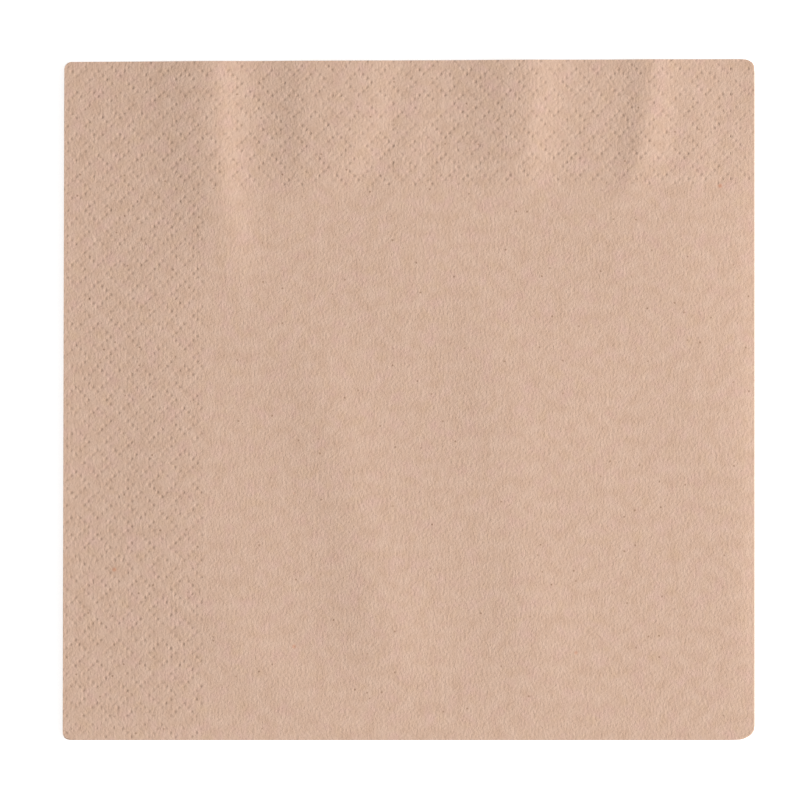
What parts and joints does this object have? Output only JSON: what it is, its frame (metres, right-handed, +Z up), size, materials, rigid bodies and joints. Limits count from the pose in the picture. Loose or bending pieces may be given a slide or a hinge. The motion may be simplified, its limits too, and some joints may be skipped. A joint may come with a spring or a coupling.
{
  "type": "paper napkin",
  "caption": "Square tissue napkin in unbleached brown, folded in half twice, with a dotted diamond emboss along its edges and soft ripples at the loose end.",
  "frame": {"origin": "middle of the underside, on the surface that the napkin lies on", "axes": "+Z up, +X towards the first fold, +Y towards the loose end, away from the second fold"},
  "size_m": [0.1652, 0.1626, 0.0027],
  "materials": {
    "tissue": "matte creped tissue made of unbleached fibre"
  },
  "bodies": {
    "root": {"napkin": "tissue"}
  },
  "joints": []
}
